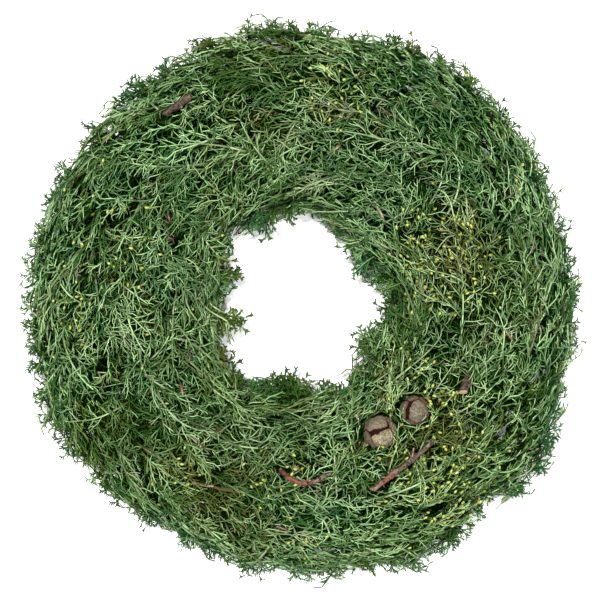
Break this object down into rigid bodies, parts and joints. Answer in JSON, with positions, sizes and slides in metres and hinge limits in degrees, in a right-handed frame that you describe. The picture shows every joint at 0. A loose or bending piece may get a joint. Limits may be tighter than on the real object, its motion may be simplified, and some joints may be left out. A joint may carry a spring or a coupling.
{
  "type": "fresh evergreen wreath",
  "caption": "Round wreath of fresh cypress sprays bound with wire on a straw ring, open in the middle, with woody cones and bare twigs among the foliage",
  "frame": {"origin": "the wreath's middle, on the surface that it lies on", "axes": "+Z up out of the wreath's face, +X right and +Y up in the picture"},
  "size_m": [0.4316, 0.4355, 0.0998],
  "materials": {
    "foliage": "fresh green scale leaves, satin, blue-green to yellow-green, some tips yellow with pollen",
    "straw": "dry golden straw, rough",
    "wire": "dark green lacquered iron wire, satin",
    "cone": "weathered grey-tan woody plates with dark red seams",
    "bark": "rough red-brown to grey-brown bark, pale where cut"
  },
  "bodies": {
    "root": {"straw_ring": "straw", "binding_wire": "wire", "cone_large": "cone", "cone_small": "cone", "twig_straight": "bark", "twig_curved": "bark", "branch_stub": "bark", "twig_bark": "bark", "spray_rim_01": "foliage", "spray_rim_02": "foliage", "spray_rim_03": "foliage", "spray_rim_04": "foliage", "spray_rim_05": "foliage", "spray_rim_06": "foliage", "spray_rim_07": "foliage", "spray_rim_08": "foliage", "spray_rim_09": "foliage", "spray_rim_10": "foliage", "spray_outer_01": "foliage", "spray_outer_02": "foliage", "spray_outer_03": "foliage", "spray_outer_04": "foliage", "spray_outer_05": "foliage", "spray_outer_06": "foliage", "spray_outer_07": "foliage", "spray_outer_08": "foliage", "spray_outer_09": "foliage", "spray_outer_10": "foliage", "spray_crown_01": "foliage", "spray_crown_02": "foliage", "spray_crown_03": "foliage", "spray_crown_04": "foliage", "spray_crown_05": "foliage", "spray_crown_06": "foliage", "spray_crown_07": "foliage", "spray_crown_08": "foliage", "spray_crown_09": "foliage", "spray_crown_10": "foliage", "spray_inner_01": "foliage", "spray_inner_02": "foliage", "spray_inner_03": "foliage", "spray_inner_04": "foliage", "spray_inner_05": "foliage", "spray_inner_06": "foliage", "spray_inner_07": "foliage", "spray_inner_08": "foliage", "spray_inner_09": "foliage", "spray_inner_10": "foliage", "spray_hole_01": "foliage", "spray_hole_02": "foliage", "spray_hole_03": "foliage", "spray_hole_04": "foliage", "spray_hole_05": "foliage", "spray_hole_06": "foliage", "spray_hole_07": "foliage", "spray_hole_08": "foliage", "spray_hole_09": "foliage", "spray_hole_10": "foliage"}
  },
  "joints": []
}
